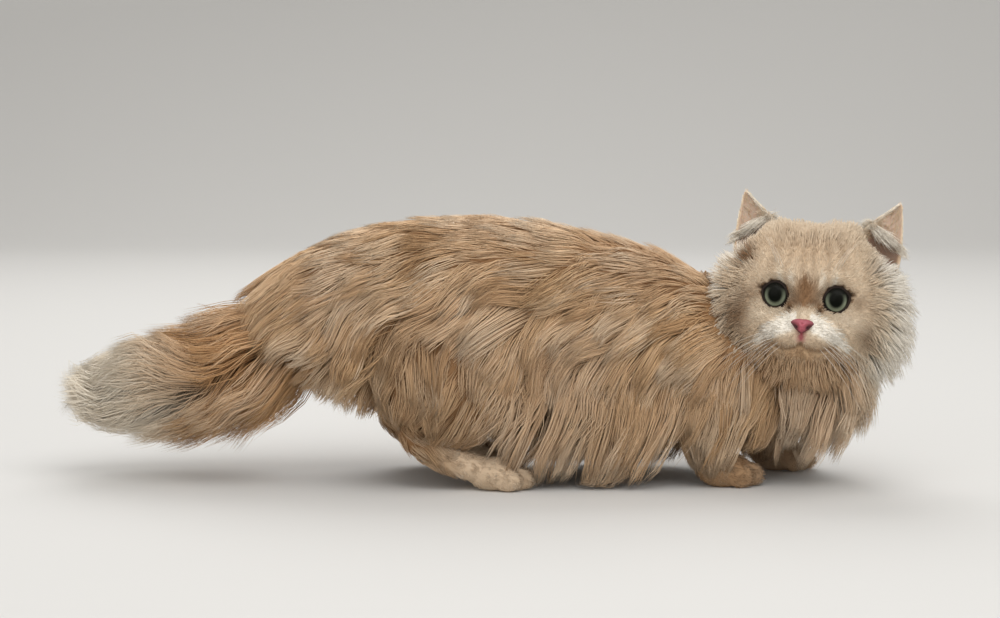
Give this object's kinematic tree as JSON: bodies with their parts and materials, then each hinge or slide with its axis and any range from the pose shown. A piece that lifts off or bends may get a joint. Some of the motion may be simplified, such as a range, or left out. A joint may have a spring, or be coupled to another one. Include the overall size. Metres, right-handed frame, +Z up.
{
  "type": "longhaired munchkin cat model",
  "caption": "Life-size still model of a longhaired cat with short legs, standing, its head turned to look over its right shoulder and its bushy tail held out behind.",
  "frame": {"origin": "on the floor under the middle of the model's box", "axes": "+X from the tail towards the chest, +Y to the animal's left, +Z up"},
  "size_m": [0.5324, 0.1472, 0.183],
  "materials": {
    "coat": "long soft fur",
    "paw_fur": "short dense fur",
    "ear_skin": "thin furred skin",
    "nose_leather": "moist pebbled leather",
    "eye": "wet gloss"
  },
  "bodies": {
    "root": {"torso": "coat", "neck": "coat", "tail": "coat", "head": "coat", "nose": "nose_leather", "eye_right": "eye", "ear_right": "ear_skin", "foreleg_right": "coat", "forepaw_right": "paw_fur", "thigh_right": "coat", "hock_right": "coat", "hindpaw_right": "paw_fur", "eye_left": "eye", "ear_left": "ear_skin", "foreleg_left": "coat", "forepaw_left": "paw_fur", "thigh_left": "coat", "hock_left": "coat", "hindpaw_left": "paw_fur"}
  },
  "joints": []
}
